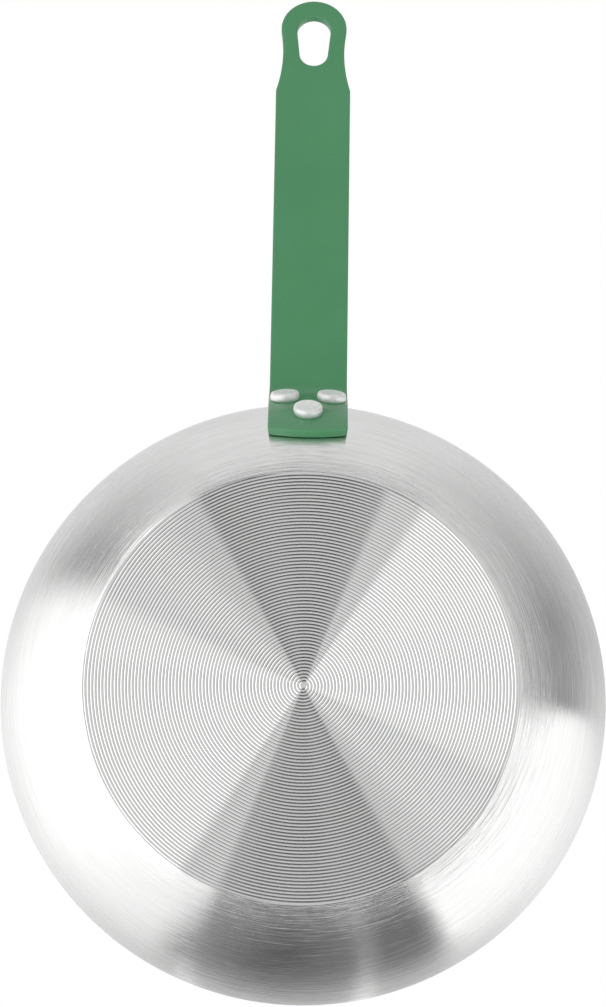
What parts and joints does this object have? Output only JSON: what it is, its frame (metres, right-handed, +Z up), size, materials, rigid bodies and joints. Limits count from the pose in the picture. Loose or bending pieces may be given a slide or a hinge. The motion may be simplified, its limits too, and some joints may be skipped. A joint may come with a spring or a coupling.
{
  "type": "frying pan",
  "caption": "Round aluminium frying pan with flared curved wall, spiral-turned flat base and a coated flat steel strip handle riveted to the wall, with a hanging eye.",
  "frame": {"origin": "middle of the flat base's underside, on the pan's axis, where it stands on the hob", "axes": "+Z up out of the pan's mouth; +Y from the pan's axis along the handle to its tip; +X to the right of a cook who looks along +Y"},
  "size_m": [0.2396, 0.4247, 0.0997],
  "materials": {
    "turned_aluminium": "outside turned and brushed round the axis, spiral grooves on the base; inside dark non-stick coating",
    "handle_coating": "satin green baked powder coating on steel",
    "rivet_aluminium": "pressed, lightly satin"
  },
  "bodies": {
    "root": {"pan_body": "turned_aluminium", "handle": "handle_coating", "upper_rivet_left": "rivet_aluminium", "upper_rivet_right": "rivet_aluminium", "lower_rivet": "rivet_aluminium"}
  },
  "joints": []
}
